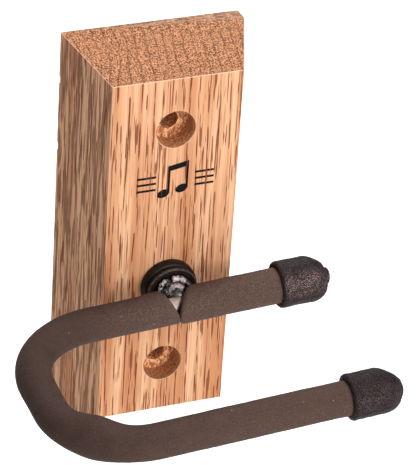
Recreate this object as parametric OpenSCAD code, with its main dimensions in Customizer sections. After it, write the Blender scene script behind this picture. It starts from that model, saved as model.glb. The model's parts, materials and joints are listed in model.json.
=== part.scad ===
// Wall guitar hanger: a bevelled oak block with a swivelling, foam-covered U-shaped yoke.
// Row frame: X to the right, Y into the wall, Z up. The origin is the middle of the block's
// back face, on the wall. The yoke lies level in front of the block, open towards +X.

/* [Block] */
// Width of the block at its back face
block_w = 63.5; // [58:0.5:90]
// Height of the block at its back face
block_h = 145; // [130:1:180]
// Thickness of the block
block_t = 25.4; // [24:0.1:35]
// How far each long side leans in from back to front
side_bevel = 9.1; // [2:0.1:12]
// How far each end leans in from back to front
end_bevel = 7.6; // [2:0.1:12]

/* [Wall screws] */
// Distance between the two wall screws
screw_spacing = 92; // [80:0.5:105]
// Diameter of the screw hole
screw_hole_d = 6.6; // [4:0.1:8]
// Diameter of the recess for the screw head
screw_recess_d = 13.5; // [10:0.1:18]
// Depth of the recess for the screw head
screw_recess_depth = 7.3; // [3:0.1:12]

/* [Swivel] */
// Height of the swivel axis above the middle of the block
swivel_z = -13.5; // [-25:0.5:25]
// Diameter of the swivel stud
stud_d = 7.94; // [6:0.01:9]
// Radial running clearance between the stud and its bushes
stud_clearance = 0.06; // [0.02:0.01:0.1]
// Diameter of the front bush's flange
front_flange_d = 19.2; // [16:0.1:24]
// Thickness of the front bush's flange
front_flange_t = 3.4; // [2:0.1:4]
// Diameter of the thrust washer in front of the bush
thrust_washer_d = 17.8; // [14:0.1:22]
// Thickness of the thrust washer
thrust_washer_t = 2.2; // [1:0.1:3]
// Outside diameter of the part of each bush inside the block
spigot_d = 11.1; // [10:0.1:13]
// Length of that part
spigot_len = 5; // [3:0.1:5.5]
// Diameter of the nut recess in the back of the block
nut_recess_d = 22; // [20:0.5:26]
// Depth of the nut recess
nut_recess_depth = 14; // [13:0.1:15]
// Across flats of the lock nut
nut_af = 12.7; // [11:0.1:14]
// Height of the lock nut
nut_h = 8.4; // [7:0.1:9]

/* [Yoke] */
// Diameter of the steel rod
rod_d = 6.35; // [5:0.05:8]
// Distance from the block's face to the middle of the rear arm
standoff = 14.2; // [13:0.1:20]
// Distance between the middles of the two arms
arm_spacing = 67; // [60:0.5:80]
// Radius of the bends, to the middle of the rod
bend_r = 26.7; // [20:0.1:28]
// Straight length from the swivel axis to the first bend
arm_left = 32.6; // [28:0.1:45]
// How far the yoke is turned on its stud, open end up
yoke_turn = 3.3; // [0:0.1:8]

/* [Foam sleeves and caps] */
// Diameter of the long foam sleeve, which covers the bends
long_sleeve_d = 11.6; // [11:0.1:13]
// Diameter of the short foam sleeve
short_sleeve_d = 12.4; // [11:0.1:13]
// Place along the rear arm where the long sleeve's cut crosses the rod
long_cut = -5.4; // [-6:0.1:-4.5]
// Slant of the long sleeve's cut
long_cut_slant = 26; // [20:1:35]
// Place along the rear arm where the short sleeve's cut crosses the rod
short_cut = 1.5; // [1.3:0.1:4]
// Slant of the short sleeve's cut
short_cut_slant = 32; // [20:1:35]
// Lean of both cuts towards the top
cut_lean = 7; // [0:1:10]
// Diameter of the cap on the rear arm
rear_cap_d = 16.1; // [14:0.1:18]
// Diameter of the cap on the front arm
front_cap_d = 15.1; // [14:0.1:18]
// Length of each cap
cap_len = 19.3; // [16:0.1:24]
// Place of the rear cap's rim along its arm
rear_cap_at = 33.8; // [30:0.1:45]
// Place of the front cap's rim along its arm
front_cap_at = 30.6; // [25:0.1:45]

/* [Hidden] */
$fn = 64;
eps = 0.01;
far = 200;
// Gap left between two pieces of one body whose round faces meet
fit_gap = 0.05;
stud_r = stud_d / 2;
bush_bore_r = stud_r + stud_clearance;
front_y = -block_t;
recess_floor_y = -nut_recess_depth;
rear_flange_t = 1.8;
rear_flange_d = 20;
rear_washer_t = 1.6;
rear_washer_d = 19;
washer_bore_r = stud_r + 0.2;
nut_y = recess_floor_y + rear_flange_t + rear_washer_t;
nut_front_h = 6;
insert_d = 10.6;
insert_t = 1.9;
stud_end_y = nut_y + nut_h + 0.9;
thread_pitch = 1.41;
thread_depth = 0.45;
thread_turns = 8;
// The stud's front end is coped on to the rod
stud_front = standoff - rod_d / 2 + 0.6;
weld_start = front_flange_t + thrust_washer_t;
rod_bore_r = rod_d / 2 + fit_gap;
// Space between the weld and the cut ends of the sleeves
sleeve_gap = 0.3;
bend_end_x = arm_left + bend_r;
cap_cavity_len = 13;
cap_dome_len = 8.6;
cap_rim_r = 1.1;
cap_nub_r = 1.5;
cap_steps = 14;
// Space left between the rod's ends and the floors of the caps
rod_tail = 0.6;
rear_rod_end = rear_cap_at + cap_cavity_len - rod_tail;
front_rod_end = front_cap_at + cap_cavity_len - rod_tail;

// ---- helpers ----

// Turns a solid of revolution made along +Z so that it runs along -Y, away from the wall
module outward() { rotate([90, 0, 0]) children(); }

// Puts children, made about the swivel axis, at the swivel's height
module at_swivel() { translate([0, 0, swivel_z]) children(); }

// Yoke frame: X along the arms, -Y away from the wall, origin where the swivel axis
// crosses the rear arm, turned on the stud by yoke_turn
module in_yoke() {
    translate([0, front_y - standoff, swivel_z]) rotate([0, -yoke_turn, 0]) children();
}

// A ring along +Z from z0 to z1
module ring(z0, z1, outer_r, inner_r) {
    difference() {
        translate([0, 0, z0]) cylinder(h = z1 - z0, r = outer_r);
        translate([0, 0, z0 - 1]) cylinder(h = z1 - z0 + 2, r = inner_r);
    }
}

// A cylinder along +X from x0 to x1
module bar_x(x0, x1, r) {
    translate([x0, 0, 0]) rotate([0, 90, 0]) cylinder(h = x1 - x0, r = r);
}

// The U of the yoke as a round bar: rear arm from x_rear, front arm to x_front
module u_bar(r, x_rear, x_front) {
    bar_x(-arm_left, x_rear, r);
    translate([-arm_left, -bend_r, 0]) rotate([0, 0, 90]) quarter_bend(r);
    translate([-bend_end_x, -bend_r, 0]) rotate([90, 0, 0]) cylinder(h = arm_spacing - 2 * bend_r, r = r);
    translate([-arm_left, -arm_spacing + bend_r, 0]) rotate([0, 0, 180]) quarter_bend(r);
    translate([0, -arm_spacing, 0]) bar_x(-arm_left, x_front, r);
}

module quarter_bend(r) {
    rotate_extrude(angle = 90) translate([bend_r, 0]) circle(r = r);
}

// Half-space on one side of a slanted cut through the rear arm: side is 1 for larger x and
// -1 for smaller x. A positive slant opens the cut towards -X at the wall.
module cut_side(x, slant, side) {
    translate([x, 0, 0]) rotate([0, 0, slant]) rotate([0, -sign(slant) * cut_lean, 0])
        translate([side > 0 ? 0 : -far, -far / 2, -far / 2]) cube(far);
}

// Room round the stud, in the yoke frame, where it pushes the foam aside
module stud_room() {
    rotate([-90, 0, 0]) translate([0, 0, rod_d / 2 - 1]) cylinder(h = far, r = stud_r + sleeve_gap);
}

// ---- block ----

module wood_block() {
    half_w = block_w / 2;
    half_h = block_h / 2;
    color([0.90, 0.70, 0.51])
    difference() {
        intersection() {
            linear_extrude(height = block_h, center = true)
                polygon([
                    [-half_w, 0], [half_w, 0],
                    [half_w - side_bevel, front_y], [-half_w + side_bevel, front_y]
                ]);
            rotate([90, 0, 90]) linear_extrude(height = block_w + 2, center = true)
                polygon([
                    [0, -half_h], [0, half_h],
                    [front_y, half_h - end_bevel], [front_y, -half_h + end_bevel]
                ]);
        }
        for (side = [-1, 1]) translate([0, 0, side * screw_spacing / 2]) outward() {
            translate([0, 0, -1]) cylinder(h = block_t + 2, d = screw_hole_d);
            translate([0, 0, block_t - screw_recess_depth])
                cylinder(h = screw_recess_depth + 1, d = screw_recess_d);
        }
        at_swivel() outward() {
            translate([0, 0, -1]) cylinder(h = block_t + 2, r = spigot_d / 2 + fit_gap);
            translate([0, 0, -1]) cylinder(h = nut_recess_depth + 1, d = nut_recess_d);
        }
    }
}

// ---- swivel ----

module front_bush() {
    color([0.08, 0.08, 0.08])
    at_swivel() outward() difference() {
        union() {
            translate([0, 0, block_t]) turned_disc(front_flange_d / 2, front_flange_t, 0.7);
            translate([0, 0, block_t - spigot_len]) cylinder(h = spigot_len + 1, d = spigot_d);
        }
        translate([0, 0, block_t - spigot_len - 1])
            cylinder(h = spigot_len + front_flange_t + 2, r = bush_bore_r);
    }
}

// A disc standing on z = 0 with its outer rim rounded off by a small chamfer
module turned_disc(r, t, chamfer) {
    rotate_extrude() polygon([[0, 0], [r, 0], [r, t - chamfer], [r - chamfer, t], [0, t]]);
}

module rear_bush() {
    color([0.08, 0.08, 0.08])
    at_swivel() outward() difference() {
        union() {
            translate([0, 0, nut_recess_depth - rear_flange_t])
                cylinder(h = rear_flange_t, d = rear_flange_d);
            translate([0, 0, nut_recess_depth - eps]) cylinder(h = spigot_len, d = spigot_d);
        }
        translate([0, 0, nut_recess_depth - rear_flange_t - 1])
            cylinder(h = rear_flange_t + spigot_len + 2, r = bush_bore_r);
    }
}

module thrust_washer() {
    color([0.10, 0.10, 0.10])
    at_swivel() outward() difference() {
        translate([0, 0, block_t + front_flange_t]) turned_disc(thrust_washer_d / 2, thrust_washer_t, 0.5);
        cylinder(h = far, r = washer_bore_r);
    }
}

module swivel_stud() {
    y_plain = -nut_y + 1;
    y_end = -stud_end_y;
    color([0.62, 0.62, 0.64])
    difference() {
        at_swivel() outward() rotate_extrude() polygon(concat(
            [[0, y_end], [stud_r - 1, y_end]],
            [for (i = [0:thread_turns - 1], k = [0, 1])
                [stud_r - (k == 0 ? thread_depth : 0), y_end + 0.9 + (i + k / 2) * thread_pitch]],
            [[stud_r, y_plain + 1.5], [stud_r, block_t + stud_front], [0, block_t + stud_front]]
        ));
        in_yoke() bar_x(-far, far, rod_bore_r);
    }
}

module weld_bead() {
    color([0.55, 0.52, 0.52])
    difference() {
        at_swivel() outward() translate([0, 0, block_t + weld_start]) rotate_extrude() polygon([
            [0, 0], [6.3, 0], [6.6, 0.8], [6.4, 2.4], [5.8, 4.4], [5, 6.6], [0, 6.6]
        ]);
        at_swivel() outward() cylinder(h = block_t + stud_front, r = stud_r + fit_gap);
        in_yoke() bar_x(-far, far, rod_bore_r);
        in_yoke() cut_side(long_cut + sleeve_gap, long_cut_slant, -1);
        in_yoke() cut_side(short_cut - sleeve_gap, -short_cut_slant, 1);
    }
}

module rear_washer() {
    color([0.72, 0.72, 0.70])
    at_swivel() outward()
        ring(-nut_y, -nut_y + rear_washer_t, rear_washer_d / 2, washer_bore_r);
}

module lock_nut() {
    hex_r = nut_af / 2 / cos(30);
    collar_r = nut_af / 2 - 0.3;
    color([0.74, 0.74, 0.72])
    at_swivel() outward() difference() {
        intersection() {
            union() {
                translate([0, 0, -nut_y - nut_front_h]) cylinder(h = nut_front_h, r = hex_r, $fn = 6);
                translate([0, 0, -nut_y - nut_h]) cylinder(h = nut_h, r = collar_r);
            }
            rotate_extrude() polygon([
                [0, -nut_y - nut_h], [collar_r - 0.6, -nut_y - nut_h], [hex_r, -nut_y - nut_front_h + 0.8],
                [hex_r, -nut_y - 0.9], [hex_r - 0.9, -nut_y], [0, -nut_y]
            ]);
        }
        translate([0, 0, -far / 2]) cylinder(h = far, r = stud_r + fit_gap);
        translate([0, 0, -nut_y - nut_h + 0.5]) cylinder(h = insert_t, d = insert_d);
    }
}

module nut_insert() {
    color([0.85, 0.84, 0.80])
    at_swivel() outward()
        ring(-nut_y - nut_h + 0.5 + fit_gap, -nut_y - nut_h + 0.5 + insert_t - fit_gap,
            insert_d / 2 - fit_gap, stud_r + fit_gap);
}

// ---- yoke ----

module yoke_rod() {
    color([0.60, 0.60, 0.62])
    in_yoke() u_bar(rod_d / 2, rear_rod_end, front_rod_end);
}

module long_sleeve() {
    color([0.35, 0.29, 0.27])
    in_yoke() difference() {
        u_bar(long_sleeve_d / 2, 0, front_rod_end);
        u_bar(rod_bore_r, 10, front_rod_end + 1);
        stud_room();
        intersection() {
            cut_side(long_cut, long_cut_slant, 1);
            translate([-far / 2, -long_sleeve_d, -far / 2]) cube(far);
        }
    }
}

module short_sleeve() {
    color([0.35, 0.29, 0.27])
    in_yoke() difference() {
        bar_x(-4, rear_rod_end, short_sleeve_d / 2);
        bar_x(-10, rear_rod_end + 1, rod_bore_r);
        stud_room();
        cut_side(short_cut, -short_cut_slant, -1);
    }
}

// A moulded end cap along +Z: rounded rim at z = 0, ogive dome with a small nub at cap_len,
// blind bore of sleeve_r
module end_cap(r, sleeve_r) {
    dome_start = cap_len - cap_dome_len;
    difference() {
        rotate_extrude() polygon(concat(
            [[0, 0], [r - cap_rim_r - 0.5, 0]],
            [for (i = [1:4]) [r - cap_rim_r * (1 - sin(i * 22.5)) - 0.1, cap_rim_r * (1 - cos(i * 22.5))]],
            [for (i = [0:cap_steps])
                let (f = sin(i * 90 / cap_steps), dome_r = r * sqrt(max(0, 1 - pow(f, 1.8))))
                [i < cap_steps ? max(cap_nub_r, dome_r) : 0, dome_start + f * cap_dome_len]]
        ));
        translate([0, 0, -1]) cylinder(h = cap_cavity_len + 1, r = sleeve_r + fit_gap);
    }
}

module rear_cap() {
    color([0.16, 0.15, 0.16])
    in_yoke() translate([rear_cap_at, 0, 0]) rotate([0, 90, 0])
        end_cap(rear_cap_d / 2, short_sleeve_d / 2);
}

module front_cap() {
    color([0.16, 0.15, 0.16])
    in_yoke() translate([front_cap_at, -arm_spacing, 0]) rotate([0, 90, 0])
        end_cap(front_cap_d / 2, long_sleeve_d / 2);
}

wood_block();
front_bush();
rear_bush();
thrust_washer();
swivel_stud();
weld_bead();
yoke_rod();
long_sleeve();
short_sleeve();
rear_cap();
front_cap();
rear_washer();
lock_nut();
nut_insert();
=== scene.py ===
"""Looks of the wall guitar hanger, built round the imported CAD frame.

Everything is in metres in the row frame: X right, Y into the wall, Z up. The yoke's own pieces are
made in the yoke frame, in millimetres: X along the arms towards the open end, Y towards the wall,
origin where the swivel axis crosses the rear arm.
"""

import json
import math
import random

import bmesh
import bpy
from mathutils import Matrix, Vector, noise


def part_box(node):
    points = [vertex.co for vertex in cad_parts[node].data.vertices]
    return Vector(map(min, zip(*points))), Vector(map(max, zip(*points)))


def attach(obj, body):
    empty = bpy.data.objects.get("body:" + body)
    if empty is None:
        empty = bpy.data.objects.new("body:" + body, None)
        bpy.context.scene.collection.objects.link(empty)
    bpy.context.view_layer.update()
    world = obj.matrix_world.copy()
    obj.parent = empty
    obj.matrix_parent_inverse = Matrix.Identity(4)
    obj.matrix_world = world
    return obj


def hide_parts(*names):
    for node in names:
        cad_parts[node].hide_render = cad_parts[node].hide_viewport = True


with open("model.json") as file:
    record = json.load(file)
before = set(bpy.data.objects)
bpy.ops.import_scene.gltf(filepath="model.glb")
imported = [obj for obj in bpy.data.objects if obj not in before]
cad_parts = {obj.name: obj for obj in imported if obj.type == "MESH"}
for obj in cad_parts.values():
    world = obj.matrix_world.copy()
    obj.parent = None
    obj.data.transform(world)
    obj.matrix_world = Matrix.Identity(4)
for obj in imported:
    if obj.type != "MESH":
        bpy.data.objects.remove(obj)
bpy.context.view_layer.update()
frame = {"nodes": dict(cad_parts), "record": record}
record = frame["record"]

# ---- sizes, in millimetres, from the frame ----

MM = 0.001


def box_mm(node):
    low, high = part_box(node)
    return low / MM, high / MM


mounts = {m["name"]: m for m in record["mounts"]}
block_low, block_high = box_mm("wood_block")
HALF_W, HALF_H, BLOCK_T = block_high.x, block_high.z, -block_low.y
# How far the front's outline lies inside the back's, at each side and at each end
SIDE_BEVEL, END_BEVEL = 9.1, 7.6
# The wedge of painted shade along the top back edge grows from nothing at the left to this at the
# right
WEDGE_DEPTH = 4.2
# The real board is this much larger at the back than the CAD's round size, to each side and end
SPREAD_X, SPREAD_Z = 0.45, 0.8
SCREW_Z = mounts["upper_screw_recess"]["pos_m"][2] / MM
RECESS_R = mounts["upper_screw_recess"]["dims"]["r_mm"]
RECESS_DEPTH = mounts["upper_screw_recess"]["dims"]["length_mm"]
SCREW_R = mounts["wall_screws"]["dims"]["hole_r_mm"]

SWIVEL_Z = record["behaviour"]["joints"][0]["pos_m"][2] / MM
BUSH_BORE_R = 4.03
SPIGOT_R, SPIGOT_LEN = 5.55, 5.0
NUT_RECESS_R, NUT_RECESS_DEPTH = 11.0, 14.0

bush_low, bush_high = box_mm("front_bush")
washer_low, washer_high = box_mm("thrust_washer")
FLANGE_R, FLANGE_FRONT = bush_high.x, bush_low.y
WASHER_R, WASHER_FRONT = washer_high.x, washer_low.y

short_low, short_high = box_mm("short_sleeve")
long_low, long_high = box_mm("long_sleeve")
SHORT_R = (short_high.y - short_low.y) / 2
LONG_R = long_high.y - (short_high.y + short_low.y) / 2
ARM_Y = (short_high.y + short_low.y) / 2
ARM_SPACING = (long_high.y - long_low.y) - 2 * LONG_R
# At rest the yoke is turned up by this much at its open end, in degrees
YOKE_TURN = 3.3
# The rod's bends, the length of each arm left of the swivel axis, and the rod's own radius
BEND_R, ARM_LEFT, ROD_R = 26.7, 32.6, 3.18
# The foam's cuts: how far they slant towards the wall and lean upwards, in degrees
LONG_SLANT, LONG_LEAN = 26, 13
SHORT_SLANT, SHORT_LEAN = 31, 6
# Where the foam bulges on the inside of a bend: distance along the rod from the axis, and height
BEND_BULGES = ((109.3, 2.0), (68, 1.0))
BULGE_SPREAD = 8
# The foam keeps this far from the stud's axis
STUD_ROOM_R = 4.3
# Where the caps begin, to the right of the swivel axis
REAR_CAP_AT, FRONT_CAP_AT = 33.8, 30.6
CAP_LEN, CAP_DOME, CAP_CAVITY = 19.3, 8.6, 13.0
rear_cap_low, rear_cap_high = box_mm("rear_cap")
front_cap_low, front_cap_high = box_mm("front_cap")
REAR_CAP_R = (rear_cap_high.y - rear_cap_low.y) / 2
FRONT_CAP_R = (front_cap_high.y - front_cap_low.y) / 2

TO_METRES = Matrix.Scale(MM, 4)
YOKE = (
    TO_METRES
    @ Matrix.Translation((0, ARM_Y, SWIVEL_Z))
    @ Matrix.Rotation(math.radians(-YOKE_TURN), 4, "Y")
)
# Turns made along +Z end up along -Y, away from the wall, at the swivel's height
SWIVEL = (
    TO_METRES
    @ Matrix.Translation((0, 0, SWIVEL_Z))
    @ Matrix.Rotation(math.radians(90), 4, "X")
)


def slope(degrees):
    return math.tan(math.radians(degrees))


# ---- mesh helpers ----


def piece(name, bm, place, body, slot, material, nodes, sharp=35):
    """A finished piece from a bmesh in millimetres; edges above sharp degrees stay crisp."""
    bmesh.ops.recalc_face_normals(bm, faces=bm.faces)
    mesh = bpy.data.meshes.new(name)
    bm.to_mesh(mesh)
    bm.free()
    mesh.transform(place)
    mesh.polygons.foreach_set("use_smooth", [True] * len(mesh.polygons))
    mesh.set_sharp_from_angle(angle=math.radians(sharp))
    obj = bpy.data.objects.new(name, mesh)
    bpy.context.scene.collection.objects.link(obj)
    mesh.materials.append(material)
    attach(obj, body)
    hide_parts(*nodes)
    return obj


def rounded(corners, steps=4):
    """A closed outline from (radius, height, fillet) corners, each rounded by its fillet."""
    outline = []
    for i, (r, h, fillet) in enumerate(corners):
        here = Vector((r, h))
        if not fillet:
            outline.append(here)
            continue
        before = (Vector(corners[i - 1][:2]) - here).normalized()
        after = (Vector(corners[(i + 1) % len(corners)][:2]) - here).normalized()
        half = before.angle(after) / 2
        centre = here + (before + after).normalized() * fillet / math.sin(half)
        start = here + before * fillet / math.tan(half) - centre
        end = here + after * fillet / math.tan(half) - centre
        for k in range(steps + 1):
            way = start.lerp(end, k / steps)
            outline.append(centre + way.normalized() * fillet)
    return outline


def dense(outline, step):
    """The closed outline with extra points, so that none are further apart than step."""
    points = []
    for here, there in zip(outline, outline[1:] + outline[:1]):
        count = max(1, math.ceil((there - here).length / step))
        points += [here.lerp(there, k / count) for k in range(count)]
    return points


def grid_faces(bm, rings, closed):
    """Joins rings of vertices, each to the next, and the last to the first if closed."""
    pairs = list(zip(rings, rings[1:] + rings[:1]))
    for a, b in pairs if closed else pairs[:-1]:
        for k in range(len(a)):
            m = (k + 1) % len(a)
            bm.faces.new((a[k], a[m], b[m], b[k]))


def revolve(outline, segments=96):
    """A solid of revolution about Z from a closed outline of (radius, height) points."""
    bm = bmesh.new()
    rings = [
        [
            bm.verts.new((r * math.cos(a), r * math.sin(a), h))
            for a in (2 * math.pi * k / segments for k in range(segments))
        ]
        for r, h in outline
    ]
    grid_faces(bm, rings, closed=True)
    bmesh.ops.remove_doubles(bm, verts=bm.verts, dist=1e-4)
    bmesh.ops.dissolve_degenerate(bm, edges=bm.edges, dist=1e-5)
    return bm


def baked(obj):
    """The object's mesh with its modifiers applied, as a new bmesh in millimetres."""
    bpy.context.view_layer.update()
    evaluated = obj.evaluated_get(bpy.context.evaluated_depsgraph_get())
    bm = bmesh.new()
    bm.from_mesh(evaluated.to_mesh())
    bmesh.ops.transform(bm, matrix=TO_METRES.inverted(), verts=bm.verts)
    evaluated.to_mesh_clear()
    return bm


def scratch(name, bm):
    """A helper object in metres, removed again by discard."""
    mesh = bpy.data.meshes.new(name)
    bm.to_mesh(mesh)
    bm.free()
    mesh.transform(TO_METRES)
    obj = bpy.data.objects.new(name, mesh)
    bpy.context.scene.collection.objects.link(obj)
    return obj


def discard(*objects):
    for obj in objects:
        mesh = obj.data
        bpy.data.objects.remove(obj)
        bpy.data.meshes.remove(mesh)


# ---- material helpers ----


class Value:
    """A number socket that arithmetic works on, each operation adding one Math node."""

    def __init__(self, graph, socket):
        self.graph, self.socket = graph, socket

    def _op(self, kind, *others):
        return self.graph.math(kind, self, *others)

    def __add__(self, other):
        return self._op("ADD", other)

    def __sub__(self, other):
        return self._op("SUBTRACT", other)

    def __mul__(self, other):
        return self._op("MULTIPLY", other)

    def __truediv__(self, other):
        return self._op("DIVIDE", other)

    def abs(self):
        return self._op("ABSOLUTE")

    def fract(self):
        return self._op("FRACT")

    def smallest(self, other):
        return self._op("MINIMUM", other)

    def largest(self, other):
        return self._op("MAXIMUM", other)

    def root(self):
        return self._op("SQRT")

    def step(self, low, high, out_low=0.0, out_high=1.0):
        """Rises smoothly from out_low at low to out_high at high."""
        node = self.graph.node("ShaderNodeMapRange", interpolation_type="SMOOTHSTEP")
        self.graph.feed(node.inputs["Value"], self)
        reverse = low > high
        node.inputs["From Min"].default_value = high if reverse else low
        node.inputs["From Max"].default_value = low if reverse else high
        node.inputs["To Min"].default_value = out_high if reverse else out_low
        node.inputs["To Max"].default_value = out_low if reverse else out_high
        return Value(self.graph, node.outputs["Result"])


class Graph:
    """One material's node tree, on the Principled shader."""

    def __init__(self, name):
        self.material = bpy.data.materials.new(name)
        self.material.use_nodes = True
        self.tree = self.material.node_tree
        self.shader = self.tree.nodes["Principled BSDF"]

    def node(self, kind, **properties):
        node = self.tree.nodes.new(kind)
        for key, value in properties.items():
            setattr(node, key, value)
        return node

    def feed(self, socket, value):
        if isinstance(value, Value):
            self.tree.links.new(value.socket, socket)
        elif isinstance(value, bpy.types.NodeSocket):
            self.tree.links.new(value, socket)
        elif isinstance(value, tuple) and socket.type == "RGBA":
            socket.default_value = (*value, 1)
        else:
            socket.default_value = value

    def math(self, kind, *values):
        node = self.node("ShaderNodeMath", operation=kind)
        for socket, value in zip(node.inputs, values):
            self.feed(socket, value)
        return Value(self, node.outputs[0])

    def place(self):
        """The point on the piece, in millimetres in the row frame."""
        coords = self.node("ShaderNodeTexCoord")
        scale = self.node("ShaderNodeVectorMath", operation="SCALE")
        self.tree.links.new(coords.outputs["Object"], scale.inputs[0])
        scale.inputs["Scale"].default_value = 1 / MM
        return scale.outputs[0]

    def split(self, vector):
        node = self.node("ShaderNodeSeparateXYZ")
        self.tree.links.new(vector, node.inputs[0])
        return [Value(self, s) for s in node.outputs]

    def normal(self):
        coords = self.node("ShaderNodeTexCoord")
        return self.split(coords.outputs["Normal"])

    def noise(self, vector, size, detail=2.0, roughness=0.5, distortion=0.0):
        """Noise from 0 to 1 whose blobs measure size, one number or one for each axis."""
        scale = self.node("ShaderNodeVectorMath", operation="MULTIPLY")
        self.tree.links.new(vector, scale.inputs[0])
        sizes = size if isinstance(size, tuple) else (size, size, size)
        scale.inputs[1].default_value = [1 / s for s in sizes]
        node = self.node("ShaderNodeTexNoise")
        self.tree.links.new(scale.outputs[0], node.inputs["Vector"])
        node.inputs["Scale"].default_value = 1
        node.inputs["Detail"].default_value = detail
        node.inputs["Roughness"].default_value = roughness
        node.inputs["Distortion"].default_value = distortion
        return Value(self, node.outputs["Fac"])

    def cells(self, vector, size, randomness=1.0):
        """Distance from the nearest of many scattered points, in units of their spacing."""
        scale = self.node("ShaderNodeVectorMath", operation="SCALE")
        self.tree.links.new(vector, scale.inputs[0])
        scale.inputs["Scale"].default_value = 1 / size
        node = self.node("ShaderNodeTexVoronoi")
        self.tree.links.new(scale.outputs[0], node.inputs["Vector"])
        node.inputs["Scale"].default_value = 1
        node.inputs["Randomness"].default_value = randomness
        return Value(self, node.outputs["Distance"])

    def mix(self, factor, a, b):
        """Colour a, going over to b as factor rises to 1."""
        node = self.node("ShaderNodeMix", data_type="RGBA")
        # For colours, the node's socket 0 is the factor, 6 and 7 are the colours and 2 the result
        self.feed(node.inputs[0], factor)
        self.feed(node.inputs[6], a)
        self.feed(node.inputs[7], b)
        return node.outputs[2]

    def bump(self, height, depth):
        """Bump of that depth in millimetres for height from 0 to 1."""
        node = self.node("ShaderNodeBump")
        node.inputs["Strength"].default_value = 1
        node.inputs["Distance"].default_value = depth * MM
        self.feed(node.inputs["Height"], height)
        return node.outputs[0]

    def finish(self, **sockets):
        """Feeds the shader's sockets, named with _ for a space."""
        for name, value in sockets.items():
            self.feed(self.shader.inputs[name.replace("_", " ")], value)
        return self.material


# ---- materials ----


def ink_mark(x, z):
    """A plain printed mark: a pair of beamed notes between short bars. 1 inside the ink."""
    mark_z = 26.5
    half_line = 0.42
    half_stem = 4.9

    def bar(cx, cz, half_x, half_z, rise=0.0):
        across = (x - cx).abs() - half_x
        up = (z - (x - cx) * rise - (mark_z + cz)).abs() - half_z
        return across.largest(up)

    def head(cx, cz):
        """A tilted oval."""
        cos_tilt, sin_tilt = 0.94, 0.34
        half_length, half_width, mean_r = 2.2, 1.55, 1.6
        u, v = x - cx, z - (mark_z + cz)
        along = (u * cos_tilt + v * sin_tilt) / half_length
        aside = (v * cos_tilt - u * sin_tilt) / half_width
        return (along * along + aside * aside).root() * mean_r - mean_r

    shape = head(-3.3, -4.3)
    notes = [
        head(3.1, -3.1),
        bar(-1.5, 0.6, half_line, half_stem),
        bar(4.9, 1.8, half_line, half_stem),
        bar(1.7, 5.6, 3.6, 1.05, rise=0.19),
    ]
    side_bars = [bar(cx, cz, 3.4, half_line) for cx in (-9.4, 11.0) for cz in (2.4, 0.0, -2.4)]
    for other in notes + side_bars:
        shape = shape.smallest(other)
    return shape.step(0.06, -0.06)


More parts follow.
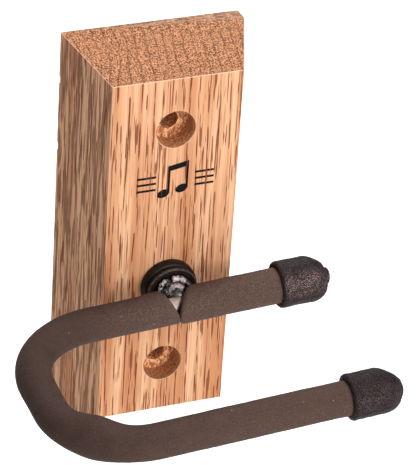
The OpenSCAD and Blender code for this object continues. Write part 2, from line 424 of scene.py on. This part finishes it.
def oak():
    g = Graph("oak")
    place = g.place()
    x, y, z = g.split(place)
    nx, _, nz = g.normal()
    side = nx.abs().step(0.6, 0.85)
    end_grain = nz.abs().step(0.6, 0.85)

    # Growth rings round a pith line well to the left of the board
    pith_x, pith_y, ring_spacing = -62, -6, 3.4
    drift = (g.noise(place, (26, 26, 210), 2) - 0.5) * 8
    ripple = (g.noise(place, (5, 5, 170), 1) - 0.5) * 1.8
    from_pith_x, from_pith_y = x - pith_x + drift + ripple, y - pith_y
    radius = (from_pith_x * from_pith_x + from_pith_y * from_pith_y).root()
    off_ring = ((radius / ring_spacing).fract() - 0.5).abs()
    early = off_ring.step(0.20, 0.06)

    broad = g.noise(place, (5.5, 5.5, 190), 2.5)
    streak = g.noise(place, (1.5, 1.5, 75), 3, 0.6)
    fine = g.noise(place, (0.60, 0.60, 26), 2.5, 0.6)
    run = g.noise(place, (1.8, 1.8, 10), 1.5, 0.55)
    dash = g.noise(place, (0.66, 0.66, 15), 1.0, 0.5)
    speckle = g.noise(place, (0.44, 0.38, 5), 1.5, 0.7)

    cream, orange, brown = (0.62, 0.355, 0.205), (0.45, 0.195, 0.092), (0.24, 0.078, 0.032)
    tan, side_grain_and_shade, pore_brown = (0.44, 0.20, 0.09), (0.165, 0.068, 0.039), (0.125, 0.021, 0.006)
    # The right of the face is a shade warmer, most towards the bottom
    warm = x.step(0, 24) * z.step(20, -40, 0.06, 0.20)
    colour = g.mix((broad + warm).step(0.40, 0.60), cream, orange)
    colour = g.mix(streak.step(0.50, 0.68) * 0.60, colour, orange)
    colour = g.mix(early * 0.35, colour, tan)
    colour = g.mix(fine.step(0.50, 0.70) * 0.45, colour, brown)
    # The sides cut the rings at a slant, in wavy bands; the dark bands also carry painted shade
    # that darkens the side faces
    wavy = g.noise(place, (1.3, 1.3, 24), 3, 0.65, 0.5)
    colour = g.mix(side * wavy.step(0.48, 0.55) * 0.80, colour, side_grain_and_shade)
    # Open pores along each ring: slim dashes that taper out at both ends
    half_thick = ((run - 0.45) * 0.60).smallest(0.055)
    dashes = (off_ring - half_thick).step(0.018, -0.018) * side.step(0.6, 0.2)
    strays = dash.step(0.625, 0.650) * 0.85
    marks = dashes.largest(strays)
    colour = g.mix(marks * 0.94, colour, pore_brown)

    # End grain: darker, dense with open pores
    end_dark, end_light = (0.110, 0.038, 0.017), (0.53, 0.250, 0.128)
    pore_dark, ring_dark = (0.085, 0.026, 0.011), (0.095, 0.032, 0.014)
    end = g.mix(speckle.step(0.40, 0.56), end_dark, end_light)
    pores = g.cells(place, 0.95, 0.7).step(0.44, 0.28)
    end = g.mix(pores * 0.62, end, pore_dark)
    patchy = g.noise(place, 4.0, 2).step(0.30, 0.60, 0.3, 1.0)
    end = g.mix(off_ring.step(0.14, 0.02) * 0.60 * patchy, end, ring_dark)
    # Along the top back edge a wedge, growing to the right, is painted grey with sawn marks: a
    # painted shade standing in for a narrow facet that leans back from the light
    wedge_shade_dark, wedge_shade_light = (0.125, 0.062, 0.042), (0.42, 0.250, 0.170)
    wedge = (y + (x + HALF_W) * (WEDGE_DEPTH / (2 * HALF_W))).step(-0.4, 0.2) * z.step(0, 1)
    sawn = g.noise(place, (2.5, 0.5, 5), 2).step(0.38, 0.62)
    end = g.mix(wedge * 0.62, end, g.mix(sawn, wedge_shade_dark, wedge_shade_light))
    colour = g.mix(end_grain, colour, end)
    # Rubbed edges between the faces show bare and pale
    end_edge = nz.abs().step(0.20, 0.36) * nz.abs().step(0.92, 0.80)
    side_edge = nx.abs().step(0.20, 0.36) * nx.abs().step(0.90, 0.75) * 0.25
    edge = end_edge.largest(side_edge) * fine.step(0.75, 0.55)
    bare = (0.78, 0.54, 0.37)
    colour = g.mix(edge * 0.6, colour, bare)

    # Bare wood inside the screw holes, torn on the floor of each recess
    wall_light, wall_dark = (0.62, 0.300, 0.140), (0.30, 0.120, 0.050)
    torn_dark, torn_light = (0.26, 0.088, 0.033), (0.82, 0.41, 0.200)
    hole_z = z.abs() - SCREW_Z
    hole = (x * x + hole_z * hole_z).root().step(RECESS_R + 0.25, RECESS_R + 0.05)
    inside = hole * y.step(-BLOCK_T + 0.1, -BLOCK_T + 0.5) * y.step(-0.5, -1.0)
    floor_zone = y.step(RECESS_DEPTH - BLOCK_T - 0.3, RECESS_DEPTH - BLOCK_T - 0.1)
    fuzz = g.noise(place, (0.8, 0.8, 1.3), 3, 0.75)
    wall = g.mix(fine.step(0.42, 0.62), wall_light, wall_dark)
    torn = g.mix(fuzz.step(0.42, 0.58), torn_dark, torn_light)
    colour = g.mix(inside * 0.9, colour, g.mix(floor_zone, wall, torn))

    # The mark is printed on the front face, and the open pores break it up a little
    ink_black = (0.002, 0.002, 0.002)
    ink = ink_mark(x, z) * y.step(-BLOCK_T + 0.3, -BLOCK_T + 0.1)
    worn_ink = ink * (marks * fine.step(0.45, 0.6)).step(0.60, 0.30)
    colour = g.mix(worn_ink, colour, ink_black)

    height = (fine * 0.35 + 0.65 - marks * 0.6) + (speckle - 0.5) * end_grain * 1.2
    height = height + (fuzz - 0.5) * inside * 2.5
    roughness = fine.step(0.3, 0.7, 0.48, 0.60) + end_grain * 0.2 + inside * 0.2
    return g.finish(
        Base_Color=colour,
        Roughness=roughness,
        Normal=g.bump(height, 0.10),
        Specular_IOR_Level=0.08,
    )


def foam():
    """Closed-cell foam: matt brown, with fine grit and a few pale specks."""
    g = Graph("brown_foam")
    place = g.place()
    x, y, _ = g.split(place)
    mottle = g.noise(place, 7.0, 3, 0.6)
    cells = g.noise(place, 0.5, 2, 0.7)
    grit = g.noise(place, 0.42, 1.5, 0.6)
    specks = g.cells(place, 2.6).step(0.085, 0.05) * g.noise(place, 4.0, 1).step(0.54, 0.64)
    dark, mid, cell = (0.035, 0.019, 0.015), (0.048, 0.027, 0.021), (0.058, 0.036, 0.029)
    pale_brown, grit_brown, speck = (0.118, 0.070, 0.055), (0.18, 0.120, 0.100), (0.42, 0.33, 0.26)
    colour = g.mix(mottle.step(0.3, 0.7), dark, mid)
    colour = g.mix(cells.step(0.35, 0.75) * 0.5, colour, cell)
    # Towards the open end, and most on the rear arm, the foam is lighter and its grain shows more
    lighter_zone = x.step(-60, 0) * y.step(ARM_Y - 60, ARM_Y - 20, 0.50, 1.0)
    grain = grit.step(0.50, 0.64) * lighter_zone.step(0.3, 1, 0.10, 0.42)
    colour = g.mix(lighter_zone * 0.36, colour, pale_brown)
    colour = g.mix(grain, colour, grit_brown)
    colour = g.mix(specks * 0.7, colour, speck)
    height = cells * 0.6 + grit * 0.4
    return g.finish(
        Base_Color=colour,
        Roughness=mottle.step(0.3, 0.7, 0.78, 0.90),
        Normal=g.bump(height, 0.09),
        Specular_IOR_Level=0.12,
    )


def cap_rubber():
    """Dipped rubber: black and coarse-grained, with painted glints on its lit side."""
    g = Graph("black_cap")
    place = g.place()
    _, y, _ = g.split(place)
    nx, ny, nz = g.normal()
    grain = g.noise(place, 0.50, 2.0, 0.7)
    glint = g.noise(place, 0.33, 1.0, 0.6)
    patch = g.noise(place, 4.5, 2)
    # Painted glints: a painted highlight on the side that faces the lamps, in patches, strongest
    # on the rear cap
    lit_side = (nz * 0.45 - ny * 0.85 + nx * 0.10).step(0.70, 1.0, 0.06, 1.0)
    lit_side = lit_side * patch.step(0.30, 0.60, 0.6, 1.0) * y.step(ARM_Y - 60, ARM_Y - 20, 0.30, 1.0)
    black, soft_black = (0.007, 0.004, 0.005), (0.013, 0.008, 0.009)
    grain_grey, glint_grey = (0.048, 0.030, 0.032), (0.30, 0.200, 0.190)
    colour = g.mix(patch.step(0.3, 0.7), black, soft_black)
    colour = g.mix(grain.step(0.48, 0.62) * 0.62, colour, grain_grey)
    colour = g.mix(glint.step(0.51, 0.59) * lit_side * 0.72, colour, glint_grey)
    return g.finish(
        Base_Color=colour,
        Roughness=glint.step(0.4, 0.7, 0.66, 0.42),
        Normal=g.bump(grain * 0.55 + glint * 0.45, 0.30),
        Specular_IOR_Level=0.08,
    )


def satin_black(name, rim_r=None):
    """Black nylon or black steel; rim_r is the rim's radius, where a painted highlight runs along
    the front edge.
    """
    g = Graph(name)
    place = g.place()
    x, y, z = g.split(place)
    haze = g.noise(place, 3.0, 3, 0.6)
    scuff = g.noise(place, (0.5, 2.0, 0.5), 2, 0.6)
    black, hazy, highlight_brown = (0.006, 0.0035, 0.003), (0.015, 0.009, 0.007), (0.12, 0.085, 0.070)
    colour = g.mix(haze.step(0.35, 0.7), black, hazy)
    if rim_r:
        # A painted highlight: a thin brown line along the front edge of the rim, broken up by
        # scuffs
        up = z - SWIVEL_Z
        radius = (x * x + up * up).root()
        rim_highlight = radius.step(rim_r - 0.60, rim_r - 0.30) * scuff.step(0.30, 0.60)
        rim_highlight = rim_highlight * y.step(WASHER_FRONT + 0.8, WASHER_FRONT + 0.4)
        colour = g.mix(rim_highlight * 0.6, colour, highlight_brown)
    return g.finish(
        Base_Color=colour,
        Roughness=scuff.step(0.3, 0.7, 0.34, 0.52),
        Normal=g.bump(scuff, 0.02),
        Specular_IOR_Level=0.16,
    )


def slit_shadow(g, place):
    """1 in the painted shadow on the steel beside the short sleeve's cut."""
    x, y, z = g.split(place)
    up = z - SWIVEL_Z
    turn = math.radians(YOKE_TURN)
    along = x * math.cos(turn) - up * math.sin(turn)
    cut = (y - ARM_Y) * slope(SHORT_SLANT) + up * slope(SHORT_LEAN)
    return (along - cut + g.noise(place, 1.2, 1) * 0.8).step(-1.0, -0.4)


def weld():
    """Weld metal with glassy slag on it, except where the mesh's clean attribute keeps it off, and
    a painted shadow beside the short sleeve's cut.
    """
    g = Graph("weld_steel")
    place = g.place()
    blotch = g.noise(place, 1.7, 2, 0.6, 0.6)
    ripple = g.noise(place, 0.7, 2, 0.6)
    clean = Value(g, g.node("ShaderNodeAttribute", attribute_name="clean").outputs["Fac"])
    # Real slag, joined by the painted shadow beside the short sleeve's cut
    slag_and_shadow = (blotch - clean * 0.22).step(0.36, 0.42).largest(slit_shadow(g, place))
    green = g.noise(place, 2.3, 1)
    dull_metal, bright_metal = (0.31, 0.245, 0.245), (0.44, 0.360, 0.352)
    black_slag, green_slag = (0.006, 0.006, 0.008), (0.016, 0.028, 0.022)
    metal = g.mix(ripple.step(0.3, 0.7), dull_metal, bright_metal)
    near_black = g.mix(green.step(0.45, 0.55), black_slag, green_slag)
    return g.finish(
        Base_Color=g.mix(slag_and_shadow, metal, near_black),
        Metallic=slag_and_shadow.step(0.2, 0.8, 0.45, 0.0),
        Roughness=slag_and_shadow.step(0.2, 0.8, 0.46, 0.22),
        Normal=g.bump(ripple, 0.10),
    )


def steel(name, tint, rough, along=(0.25, 3.0, 0.25), metallic=0.9, slit_shadowed=False):
    """Plated or drawn steel with fine lines along one axis, faint stains and, if asked, a painted
    shadow beside the short sleeve's cut.
    """
    g = Graph(name)
    place = g.place()
    lines = g.noise(place, along, 3, 0.6)
    stain = g.noise(place, 3.5, 3, 0.6)
    stained, near_black = tuple(c * 0.72 for c in tint), (0.006, 0.006, 0.007)
    colour = g.mix(stain.step(0.35, 0.7), tint, stained)
    # Painted shadow beside the short sleeve's cut
    if slit_shadowed:
        colour = g.mix(slit_shadow(g, place) * 0.95, colour, near_black)
    return g.finish(
        Base_Color=colour,
        Metallic=metallic,
        Roughness=lines.step(0.3, 0.7, rough - 0.07, rough + 0.1),
        Normal=g.bump(lines, 0.012),
    )


def insert_nylon():
    g = Graph("insert_nylon")
    place = g.place()
    cloud = g.noise(place, 1.5, 3)
    colour = g.mix(cloud.step(0.3, 0.7), (0.62, 0.60, 0.52), (0.72, 0.70, 0.62))
    return g.finish(
        Base_Color=colour,
        Roughness=cloud.step(0.3, 0.7, 0.40, 0.52),
        Normal=g.bump(cloud, 0.03),
        Subsurface_Weight=0.1,
    )


OAK = oak()
FOAM = foam()
CAP = cap_rubber()
WELD = weld()
BUSH = satin_black("black_nylon")
WASHER = satin_black("black_steel", rim_r=WASHER_R)
ZINC = steel("zinc_steel", (0.66, 0.67, 0.66), 0.34)
ROD = steel(
    "rod_steel", (0.50, 0.38, 0.34), 0.5, along=(3.0, 0.25, 0.25), metallic=0.3, slit_shadowed=True,
)
INSERT = insert_nylon()

# Pieces whose exact CAD shape is also what they look like get a finished material
for name, material in {
    "rear_bush": BUSH,
    "swivel_stud": ZINC,
    "rear_washer": ZINC,
    "lock_nut": ZINC,
    "nut_insert": INSERT,
    "yoke_rod": ROD,
}.items():
    node = frame["nodes"][name]
    node.data.materials.clear()
    node.data.materials.append(material)


# ---- block ----


def cut_off(bm, points):
    """Cuts away what lies outside the plane through three points, seen from the block's middle."""
    a, b, c = (Vector(p) for p in points)
    outward = (b - a).cross(c - a)
    if outward.dot(a) < 0:
        outward.negate()
    bmesh.ops.bisect_plane(
        bm,
        geom=list(bm.verts) + list(bm.edges) + list(bm.faces),
        plane_co=a,
        plane_no=outward,
        clear_outer=True,
    )
    open_edges = [e for e in bm.edges if e.is_boundary]
    bmesh.ops.holes_fill(bm, edges=open_edges)
    bmesh.ops.recalc_face_normals(bm, faces=bm.faces)


def round_edges(bm, edges, radius, segments):
    bmesh.ops.bevel(
        bm,
        geom=edges,
        offset=radius,
        segments=segments,
        profile=0.5,
        affect="EDGES",
        clamp_overlap=True,
    )


def block_shell():
    """The bevelled board with its worn edges, before any hole is bored."""
    w, h, t = HALF_W + SPREAD_X, HALF_H + SPREAD_Z, BLOCK_T
    side_bevel, end_bevel = SIDE_BEVEL + SPREAD_X, END_BEVEL + SPREAD_Z
    bm = bmesh.new()
    back = [bm.verts.new((sx * w, 0, sz * h)) for sx, sz in ((-1, -1), (1, -1), (1, 1), (-1, 1))]
    front = [
        bm.verts.new((sx * (w - side_bevel), -t, sz * (h - end_bevel)))
        for sx, sz in ((-1, -1), (1, -1), (1, 1), (-1, 1))
    ]
    bm.faces.new(back)
    bm.faces.new(front)
    for k in range(4):
        m = (k + 1) % 4
        bm.faces.new((back[k], back[m], front[m], front[k]))
    # The top corner at the back right is knocked off, by this much along each of its edges
    across, down, depth = 2.6, 3.0, 4.0
    along_edge = (w - depth * side_bevel / t, -depth, h - depth * end_bevel / t)
    cut_off(bm, [(w - across, 0, h), along_edge, (w, 0, h - down)])
    left_back = [
        e for e in bm.edges if all(v.co.x < -w + 0.01 and v.co.y > -0.01 for v in e.verts)
    ]
    round_edges(bm, left_back, radius=0.5, segments=4)
    rest = [e for e in bm.edges if e.calc_face_angle(0) > math.radians(40)]
    round_edges(bm, rest, radius=0.4, segments=3)
    return bm


def hole_cutters():
    """Recessed screw holes, the stepped swivel hole and two chips out of the left back edge."""
    t = BLOCK_T
    floor = t - RECESS_DEPTH
    screw = [
        (0, -1), (SCREW_R + 1.3, -1), (SCREW_R, 0.3), (SCREW_R, floor),
        (RECESS_R - 0.15, floor), (RECESS_R, floor + 0.15), (RECESS_R, t - 0.35),
        (RECESS_R + 0.12, t - 0.1), (RECESS_R + 0.4, t + 0.1), (RECESS_R + 1, t + 1), (0, t + 1),
    ]
    swivel = [
        (0, -1), (NUT_RECESS_R + 1.3, -1), (NUT_RECESS_R, 0.3), (NUT_RECESS_R, NUT_RECESS_DEPTH),
        (SPIGOT_R + 0.05, NUT_RECESS_DEPTH), (SPIGOT_R + 0.05, t + 1), (0, t + 1),
    ]
    all_cutters = bmesh.new()
    for outline, z in ((screw, SCREW_Z), (screw, -SCREW_Z), (swivel, SWIVEL_Z)):
        bm = revolve([Vector(p) for p in outline])
        turn = Matrix.Translation((0, 0, z)) @ Matrix.Rotation(math.radians(90), 4, "X")
        bmesh.ops.transform(bm, matrix=turn, verts=bm.verts)
        bmesh.ops.recalc_face_normals(bm, faces=bm.faces)
        mesh = bpy.data.meshes.new("part")
        bm.to_mesh(mesh)
        bm.free()
        all_cutters.from_mesh(mesh)
        bpy.data.meshes.remove(mesh)
    chips = ((-HALF_W - 0.5, 0.1, 56, 1.1), (-HALF_W - 0.7, 0, 31, 1.2))
    for x, y, z, r in chips:
        bmesh.ops.create_icosphere(
            all_cutters, subdivisions=3, radius=r,
            matrix=Matrix.Translation((x, y, z)) @ Matrix.Diagonal((1, 0.8, 1.7, 1)),
        )
    return all_cutters


def build_block():
    board = scratch("board", block_shell())
    cutters = scratch("cutters", hole_cutters())
    boolean = board.modifiers.new("holes", "BOOLEAN")
    boolean.operation, boolean.object, boolean.solver = "DIFFERENCE", cutters, "EXACT"
    bm = baked(board)
    discard(board, cutters)
    obj = piece("oak_block", bm, TO_METRES, "block", "oak", OAK, ["wood_block"], sharp=32)
    weighted = obj.modifiers.new("even shading", "WEIGHTED_NORMAL")
    weighted.keep_sharp = True


# ---- swivel ----


def build_flange():
    """The front bush: a spigot in the block and a rounded flange on its face."""
    t = BLOCK_T
    front = -FLANGE_FRONT
    outline = rounded([
        (BUSH_BORE_R, t - SPIGOT_LEN, 0),
        (SPIGOT_R, t - SPIGOT_LEN, 0.5),
        (SPIGOT_R, t, 0),
        (FLANGE_R, t, 0.3),
        (FLANGE_R, front, 0.9),
        (FLANGE_R - 2.2, front, 0.0),
        (BUSH_BORE_R, front, 0),
    ])
    solid = revolve(outline)
    piece("front_bush_flange", solid, SWIVEL, "block", "black_nylon", BUSH, ["front_bush"])


def build_washer():
    """The stepped black disc in front of the flange, with a dished face."""
    running_gap = 0.03
    back, front = running_gap - FLANGE_FRONT, -WASHER_FRONT
    outline = rounded([
        (BUSH_BORE_R + 0.15, back, 0),
        (WASHER_R - 0.7, back, 0),
        (WASHER_R - 0.7, back + 0.35, 0.15),
        (WASHER_R, back + 0.35, 0.25),
        (WASHER_R, front, 0.55),
        (WASHER_R - 1.6, front, 0.0),
        (WASHER_R - 1.9, front - 0.25, 0.1),
        (BUSH_BORE_R + 0.15, front - 0.25, 0),
    ])
    solid = revolve(outline)
    piece("thrust_disc", solid, SWIVEL, "yoke", "black_steel", WASHER, ["thrust_washer"])


def build_weld():
    """A lumpy bead: many overlapping blobs of molten steel melted into one skin."""
    draw = random.Random(7)
    washer_y = WASHER_FRONT - ARM_Y
    blobs, bright = [], []
    rings = ((5.4, washer_y - 0.9, 1.3, 13), (4.7, 5.6, 1.5, 10), (3.4, 3.9, 1.4, 7))
    for ring_r, y, size, count in rings:
        for k in range(count):
            a = 2 * math.pi * (k + draw.uniform(-0.3, 0.3)) / count
            r = ring_r + draw.uniform(-0.5, 0.4)
            blobs.append((
                r * math.cos(a), y + draw.uniform(-0.5, 0.5), r * math.sin(a),
                size * draw.uniform(0.7, 1.15),
            ))
    for k in range(8):
        blobs.append((0, 3.4 + 0.65 * k, 0, 4.2))
    # Runs of clean metal: a curled lump over the rod, a thick ridge from the washer down to the
    # short sleeve, and small beads on the left
    for k in range(6):
        u = k / 5
        bright.append((-1.9 + 3.6 * u, 5.3 - 1.5 * u, 4.1 + 0.5 * math.sin(math.pi * u), 1.15))
    for k in range(10):
        u = k / 9
        bright.append((0.2 + 4.3 * u, 7.2 - 2.2 * u * u, 6.3 - 2.4 * u * u, 1.05))
    bright += [
        (-4.4, 7.2, 4.7, 0.95),
        (-5.0, 7.0, 3.4, 0.85),
        (-3.5, 7.5, 5.6, 0.8),
        (-3.9, 5.6, 2.9, 0.7),
    ]
    bm = bmesh.new()
    for x, y, z, r in blobs + bright:
        at = Matrix.Translation((x, y, z))
        bmesh.ops.create_icosphere(bm, subdivisions=3, radius=r, matrix=at)
    lumps = scratch("lumps", bm)
    remesh = lumps.modifiers.new("melt", "REMESH")
    remesh.mode, remesh.voxel_size = "VOXEL", 0.20 * MM
    smooth = lumps.modifiers.new("flow", "SMOOTH")
    smooth.factor, smooth.iterations = 0.5, 3
    bm = baked(lumps)
    discard(lumps)
    for v in bm.verts:
        v.co += v.normal * 0.22 * noise.noise(v.co * 0.8)
        v.co.y = min(v.co.y, washer_y - 0.02)
    bm.verts.ensure_lookup_table()

    def gap(point, balls):
        return min((point - Vector(b[:3])).length - b[3] for b in balls)

    blend = 0.5
    clean = [
        max(0.0, min(1.0, 0.5 + (gap(v.co, blobs) - gap(v.co, bright)) / blend)) for v in bm.verts
    ]
    obj = piece("weld_lumps", bm, YOKE, "yoke", "weld_steel", WELD, ["weld_bead"], sharp=180)
    obj.data.attributes.new("clean", "FLOAT", "POINT").data.foreach_set("value", clean)


# ---- yoke ----


def u_path(d):
    """Place and heading on the rod's centreline, d from the swivel axis round to the front arm."""
    quarter = BEND_R * math.pi / 2
    across = ARM_SPACING - 2 * BEND_R
    if d <= ARM_LEFT:
        return Vector((-d, 0, 0)), Vector((-1, 0, 0))
    d -= ARM_LEFT
    if d <= quarter:
        a = d / BEND_R
        return (
            Vector((-ARM_LEFT - BEND_R * math.sin(a), -BEND_R + BEND_R * math.cos(a), 0)),
            Vector((-math.cos(a), -math.sin(a), 0)),
        )
    d -= quarter
    if d <= across:
        return Vector((-ARM_LEFT - BEND_R, -BEND_R - d, 0)), Vector((0, -1, 0))
    d -= across
    if d <= quarter:
        a = d / BEND_R
        return (
            Vector((
                -ARM_LEFT - BEND_R * math.cos(a),
                -ARM_SPACING + BEND_R - BEND_R * math.sin(a), 0,
            )),
            Vector((math.sin(a), -math.cos(a), 0)),
        )
    d -= quarter
    return Vector((-ARM_LEFT + d, -ARM_SPACING, 0)), Vector((1, 0, 0))


def straight_path(d):
    """The rear arm towards the open end."""
    return Vector((d, 0, 0)), Vector((1, 0, 0))


def sleeve(path, radius, cut, slant, lean, hollow, edge, flare, far_end, steps):
    """A foam tube from a slanted, softly rounded cut to a square far end.

    The cut crosses the rod at cut, and goes further along the arm by slant for each millimetre
    towards the wall and by lean for each millimetre upwards. hollow sinks it on the side that
    faces the room, edge is the radius of its rounded rim, and flare lifts the foam beside it.
    """
    segments = 72
    bore = ROD_R + 0.05

    def ring(r, offset, share):
        vertices = []
        for k in range(segments):
            a = 2 * math.pi * k / segments
            # Wall side and up side of this point, the same for both paths on the rear arm
            wall, up = r * math.cos(a), r * math.sin(a)
            start = cut + slant * wall + lean * up + offset
            start += hollow * max(0, (0.5 * up - 0.85 * wall) / r) ** 2
            if wall > 1 and abs(up) < STUD_ROOM_R:
                start = max(start, math.sqrt(STUD_ROOM_R**2 - up**2) * min(1, (wall - 1) / 1.5))
            d = start + (far_end - start) * share
            at, heading = path(d)
            side = Vector((heading.y, -heading.x, 0))
            if path is straight_path:
                side = -side
            bulge = 0.10 * noise.noise(at * 0.11 + Vector((wall, up, 3)) * 0.05)
            bulge += 0.03 * noise.noise(at * 0.5 + Vector((wall, up, 9)) * 0.3)
            if path is u_path:
                crown = max(0, 0.85 * abs(up) - 0.5 * wall) / radius
                for at_bend, height in BEND_BULGES:
                    bulge += height * crown**2 * math.exp(-(((d - at_bend) / BULGE_SPREAD) ** 2))
            if up > 0:
                bulge += flare * (up / radius) ** 2 * math.exp(-(((d - start) / 4.5) ** 2))
            reach = (r + (bulge if r > bore + 0.5 else 0)) / r
            vertices.append(bm.verts.new(at + side * wall * reach + Vector((0, 0, up * reach))))
        return vertices

    bm = bmesh.new()
    rings = []
    for k in range(5):
        rings.append(ring(bore + (radius - edge - bore) * k / 5, 0, 0))
    for k in range(7):
        a = math.pi / 2 * k / 6
        rings.append(ring(radius - edge + edge * math.sin(a), edge * (1 - math.cos(a)), 0))
    for k in range(1, steps + 1):
        rings.append(ring(radius, edge, k / steps))
    for k in range(12):
        rings.append(ring(bore, 0, 1 - k / 12))
    grid_faces(bm, rings, closed=True)
    return bm


def build_sleeves():
    round_the_bends = 2 * ARM_LEFT + math.pi * BEND_R + ARM_SPACING - 2 * BEND_R
    # Each tube ends just short of the bottom of its cap
    in_cap = CAP_CAVITY - 0.6
    long_bm = sleeve(
        u_path, LONG_R, cut=4.8, slant=slope(LONG_SLANT), lean=slope(LONG_LEAN), hollow=0.7,
        edge=0.9, flare=0.8, far_end=round_the_bends + FRONT_CAP_AT + in_cap, steps=190,
    )
    short_bm = sleeve(
        straight_path, SHORT_R, cut=0.4, slant=slope(SHORT_SLANT), lean=slope(SHORT_LEAN),
        hollow=0.0, edge=2.0, flare=0.0, far_end=REAR_CAP_AT + in_cap, steps=60,
    )
    foam_look = (YOKE, "yoke", "brown_foam", FOAM)
    long_foam = piece("long_foam", long_bm, *foam_look, ["long_sleeve"], sharp=60)
    short_foam = piece("short_foam", short_bm, *foam_look, ["short_sleeve"], sharp=60)


def build_cap(name, node, radius, sleeve_r, at, arm_y, seed, neck, sag):
    """A dipped rubber cap: rolled rim, slightly uneven wall and a domed tip.

    neck pinches the dome near its end, which leaves a nipple, and sag droops the tip.
    """
    bore = sleeve_r + 0.05
    dome_start = CAP_LEN - CAP_DOME
    wall = rounded([
        (bore, 0, 0.35),
        (radius + 0.12, 0, 1.15),
        (radius - 0.05, 2.6, 0),
        (radius, dome_start, 0),
    ])[:-1]
    dome = []
    for k in range(1, 30):
        f = math.sin(k / 30 * math.pi / 2)
        r = radius * math.sqrt(1 - f**1.8)
        r *= 1 - neck * math.exp(-(((f - 0.83) / 0.08) ** 2))
        dome.append(Vector((r, dome_start + f * CAP_DOME)))
    outline = wall + [Vector((radius, dome_start))] + dome
    outline += [Vector((0, CAP_LEN)), Vector((0, CAP_CAVITY)), Vector((bore, CAP_CAVITY))]
    bm = revolve(dense(outline, 0.45), segments=120)
    bm.normal_update()
    bmesh.ops.recalc_face_normals(bm, faces=bm.faces)
    bm.normal_update()
    shift = Vector((seed * 17.3, seed * 5.1, seed * 9.7))
    for v in bm.verts:
        r = math.hypot(v.co.x, v.co.y)
        if r < bore + 0.15 and v.co.z < CAP_CAVITY + 0.5:
            continue
        lump = 0.20 * noise.noise(v.co * 0.22 + shift)
        lump += 0.09 * noise.noise(v.co * 0.75 + shift)
        lump += 0.045 * noise.noise(v.co * 2.2 + shift)
        toward_tip = max(0.0, (v.co.z - dome_start) / CAP_DOME)
        v.co += v.normal * lump * min(1, r / 3)
        v.co.x += sag * math.sin(math.pi * min(1, toward_tip) ** 1.3)
    along_x = Matrix.Rotation(math.radians(90), 4, "Y")
    place = YOKE @ Matrix.Translation((at, arm_y, 0)) @ along_x
    piece(name, bm, place, "yoke", "black_cap", CAP, [node], sharp=70)


build_block()
build_flange()
build_washer()
build_weld()
build_sleeves()
build_cap(
    "rear_tip", "rear_cap", REAR_CAP_R, SHORT_R, at=REAR_CAP_AT, arm_y=0,
    seed=1, neck=0.30, sag=0.7,
)
build_cap(
    "front_tip", "front_cap", FRONT_CAP_R, LONG_R, at=FRONT_CAP_AT, arm_y=-ARM_SPACING,
    seed=2, neck=0.05, sag=0.8,
)


# ---- floor, light and camera ----

FLOOR_Z = -0.30


def build_floor():
    bm = bmesh.new()
    bmesh.ops.create_grid(bm, x_segments=1, y_segments=1, size=6)
    mesh = bpy.data.meshes.new("floor")
    bm.to_mesh(mesh)
    bm.free()
    floor = bpy.data.objects.new("floor", mesh)
    floor.location.z = FLOOR_Z
    bpy.context.scene.collection.objects.link(floor)
    g = Graph("pale_floor")
    mesh.materials.append(g.finish(Base_Color=(0.84, 0.84, 0.84), Roughness=0.9))


def area_light(name, place, aim, size, watts):
    """A round white lamp, size metres across, at place and aimed at aim."""
    light = bpy.data.lights.new(name, "AREA")
    light.shape, light.size, light.energy = "DISK", size, watts
    obj = bpy.data.objects.new(name, light)
    obj.location = place
    obj.rotation_euler = (Vector(aim) - Vector(place)).to_track_quat("-Z", "Y").to_euler()
    bpy.context.scene.collection.objects.link(obj)


def add_world(strength):
    """Even white light from all round, and colours shown as they are."""
    world = bpy.data.worlds.new("studio")
    world.use_nodes = True
    background = world.node_tree.nodes["Background"]
    background.inputs["Color"].default_value = (1, 1, 1, 1)
    background.inputs["Strength"].default_value = strength
    bpy.context.scene.world = world
    bpy.context.scene.view_settings.view_transform = "Standard"


def add_camera():
    """The photograph's viewpoint: from the left, above, and a long way off."""
    yaw, rise, roll = (math.radians(a) for a in (-23.12, 31.71, 3.92))
    target, distance = Vector((24.93, 0, -12.85)) * MM, 963 * MM
    back = Vector((
        math.sin(yaw) * math.cos(rise),
        -math.cos(yaw) * math.cos(rise),
        math.sin(rise),
    ))
    right = Vector((math.cos(yaw), math.sin(yaw), 0))
    up = back.cross(right)
    right, up = (
        math.cos(roll) * right + math.sin(roll) * up,
        math.cos(roll) * up - math.sin(roll) * right,
    )
    data = bpy.data.cameras.new("camera")
    data.sensor_width, data.sensor_fit, data.lens = 36, "AUTO", 214.96
    data.clip_end = 50
    camera = bpy.data.objects.new("camera", data)
    camera.matrix_world = Matrix.Translation(target + back * distance) @ Matrix(
        (right, up, back)
    ).transposed().to_4x4()
    bpy.context.scene.collection.objects.link(camera)
    bpy.context.scene.camera = camera


build_floor()
area_light("key", (0.50, -1.55, 0.60), aim=(0.0, -0.03, 0.0), size=1.3, watts=24)
area_light("front_fill", (0.20, -1.60, 0.02), aim=(0.0, -0.03, -0.03), size=1.0, watts=13)
area_light("top", (-0.1, -0.2, 1.7), aim=(0.0, 0.0, 0.0), size=1.6, watts=15)
area_light("backdrop", (0.25, 0.75, 0.80), aim=(0.22, 0.50, FLOOR_Z), size=0.9, watts=19)
add_world(strength=0.26)
add_camera()
